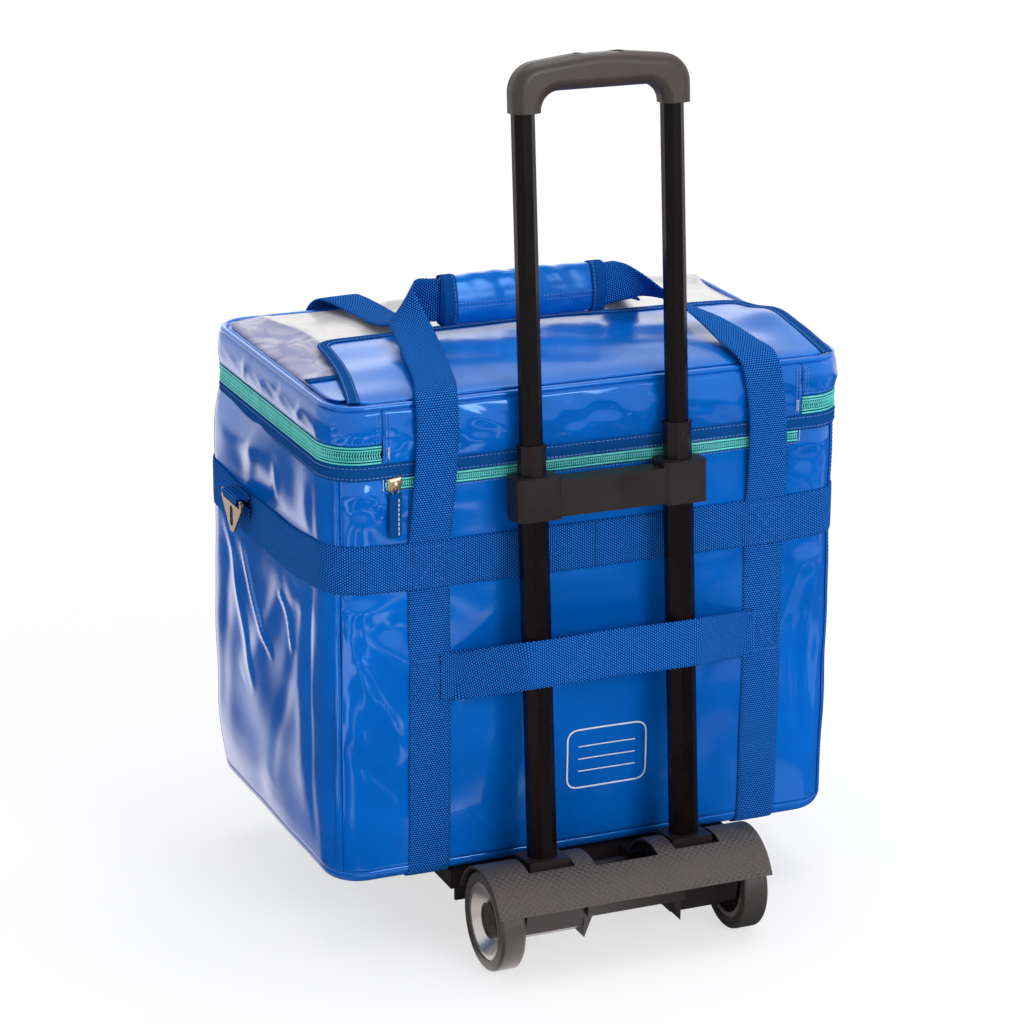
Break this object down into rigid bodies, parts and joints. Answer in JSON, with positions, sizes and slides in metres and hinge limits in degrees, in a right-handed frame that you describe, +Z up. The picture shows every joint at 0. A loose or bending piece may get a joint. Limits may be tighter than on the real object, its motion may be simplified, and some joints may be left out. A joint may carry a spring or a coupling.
{
  "type": "insulated specimen bag",
  "caption": "Box-shaped insulated carry bag with a zipped lid and carry loops, strapped to a two-wheel telescopic trolley.",
  "frame": {"origin": "on the floor under the middle of the whole object's bounding box", "axes": "+X to the right seen from the trolley side, -Y towards the person pulling the trolley, +Z up"},
  "size_m": [0.4958, 0.4058, 0.7449],
  "materials": {
    "pvc_blue": "coated fabric, glossy",
    "webbing_blue": "ribbed weave",
    "binding_blue": "grosgrain weave",
    "foam_white": "closed-cell foam",
    "liner_silver": "satin foil film",
    "zip_turquoise": "woven tape and moulded teeth",
    "clear_film": "clear flexible film",
    "bronze_metal": "dark bronze plating, satin",
    "charcoal_plastic": "fine matt texture",
    "button_plastic": "matt",
    "tube_black": "gloss black anodised look",
    "rod_steel": "bright",
    "tyre_rubber": "satin",
    "rim_silver": "silver paint",
    "hub_dark": "gloss"
  },
  "bodies": {
    "bag_and_base": {"axle_block_left": "charcoal_plastic", "axle_block_right": "charcoal_plastic", "axle_rod": "rod_steel", "base_panel": "pvc_blue", "base_shroud": "charcoal_plastic", "body_straps": "webbing_blue", "bridge_clamp": "charcoal_plastic", "foam_base": "foam_white", "foam_front": "foam_white", "foam_left": "foam_white", "foam_rear": "foam_white", "foam_right": "foam_white", "footplate": "charcoal_plastic", "footplate_feet": "tyre_rubber", "footplate_pin": "rod_steel", "frame_screws": "rod_steel", "front_panel": "pvc_blue", "hinge_panel": "pvc_blue", "left_panel": "pvc_blue", "liner": "liner_silver", "lower_tubes": "tube_black", "pocket_zip": "zip_turquoise", "rear_panel": "pvc_blue", "right_panel": "pvc_blue", "rim_binding": "binding_blue", "ring_tabs": "pvc_blue", "sleeve_strap": "webbing_blue", "waist_belt": "webbing_blue", "zip_body_side": "zip_turquoise"},
    "lid": {"lid_top": "pvc_blue", "lid_foam": "foam_white", "lid_wall": "pvc_blue", "lid_piping": "pvc_blue", "zip_lid_side": "zip_turquoise", "window_pocket": "clear_film", "document_flap": "pvc_blue", "front_loop": "webbing_blue", "grip_wrap": "webbing_blue"},
    "rear_carry_loop": {"rear_loop": "webbing_blue"},
    "wheel_left": {"tyre_left": "tyre_rubber", "rim_left": "rim_silver", "hub_cap_left": "hub_dark"},
    "wheel_right": {"tyre_right": "tyre_rubber", "rim_right": "rim_silver", "hub_cap_right": "hub_dark"},
    "mid_stage": {"mid_tubes": "tube_black", "mid_collars": "charcoal_plastic"},
    "handle": {"upper_tubes": "tube_black", "grip": "charcoal_plastic", "button_springs": "rod_steel"},
    "button": {"release_button": "button_plastic", "lock_rods": "rod_steel"},
    "strap_ring_left": {"ring_left": "bronze_metal"},
    "strap_ring_right": {"ring_right": "bronze_metal"},
    "pocket_slider_body": {"pocket_slider": "bronze_metal"},
    "pocket_pull_body": {"pocket_pull": "pvc_blue"},
    "main_slider_left_body": {"main_slider_left": "bronze_metal"},
    "main_slider_right_body": {"main_slider_right": "bronze_metal"},
    "main_pull_left_body": {"main_pull_left": "bronze_metal"},
    "main_pull_right_body": {"main_pull_right": "bronze_metal"}
  },
  "joints": [
    {"name": "lid_open", "type": "hinge", "parent": "bag_and_base", "child": "lid", "pos_m": [0, -0.1026, 0.474], "axis": [1, 0, 0], "range_deg": [0, 60]},
    {"name": "rear_loop_swing", "type": "hinge", "parent": "bag_and_base", "child": "rear_carry_loop", "pos_m": [0, 0.2009, 0.362], "axis": [1, 0, 0], "range_deg": [-165, 0], "deforming": ["rear_loop"]},
    {"name": "wheel_left_spin", "type": "hinge", "parent": "bag_and_base", "child": "wheel_left", "pos_m": [-0.11, -0.1601, 0.042], "axis": [1, 0, 0], "continuous": true},
    {"name": "wheel_right_spin", "type": "hinge", "parent": "bag_and_base", "child": "wheel_right", "pos_m": [0.11, -0.1601, 0.042], "axis": [1, 0, 0], "continuous": true},
    {"name": "mid_stage_slide", "type": "slide", "parent": "bag_and_base", "child": "mid_stage", "axis": [0, 0.0859, 0.9963], "range_m": [0, 0.25]},
    {"name": "handle_slide", "type": "slide", "parent": "mid_stage", "child": "handle", "axis": [0, 0.0859, 0.9963], "range_m": [-0.259, 0]},
    {"name": "release_button_press", "type": "slide", "parent": "handle", "child": "button", "axis": [0, 0.0859, 0.9963], "range_m": [-0.004, 0], "stiffness_N_per_m": 1500, "springref_m": 0.002, "deforming": ["button_springs"]},
    {"name": "ring_left_swing", "type": "hinge", "parent": "bag_and_base", "child": "strap_ring_left", "pos_m": [-0.2443, 0.1009, 0.346], "axis": [0, 1, 0], "range_deg": [0, 120]},
    {"name": "ring_right_swing", "type": "hinge", "parent": "bag_and_base", "child": "strap_ring_right", "pos_m": [0.2443, 0.1009, 0.346], "axis": [0, -1, 0], "range_deg": [0, 120]},
    {"name": "pocket_zip_slide", "type": "slide", "parent": "bag_and_base", "child": "pocket_slider_body", "axis": [1, 0, 0], "range_m": [0, 0.356]},
    {"name": "pocket_pull_swing", "type": "hinge", "parent": "pocket_slider_body", "child": "pocket_pull_body", "pos_m": [-0.177, -0.1094, 0.4085], "axis": [-1, 0, 0], "range_deg": [0, 60]},
    {"name": "main_slider_left_slide", "type": "slide", "parent": "bag_and_base", "child": "main_slider_left_body", "axis": [1, 0, 0], "range_m": [-0.11, 0]},
    {"name": "main_slider_right_slide", "type": "slide", "parent": "bag_and_base", "child": "main_slider_right_body", "axis": [1, 0, 0], "range_m": [0, 0.11]},
    {"name": "main_pull_left_swing", "type": "hinge", "parent": "main_slider_left_body", "child": "main_pull_left_body", "pos_m": [-0.01, 0.1997, 0.434], "axis": [1, 0, 0], "range_deg": [0, 100]},
    {"name": "main_pull_right_swing", "type": "hinge", "parent": "main_slider_right_body", "child": "main_pull_right_body", "pos_m": [0.01, 0.1997, 0.434], "axis": [1, 0, 0], "range_deg": [0, 100]}
  ],
  "couplings": [
    {"joint": "rear_loop_swing", "follows": "lid_open", "ratio": -2.75}
  ]
}
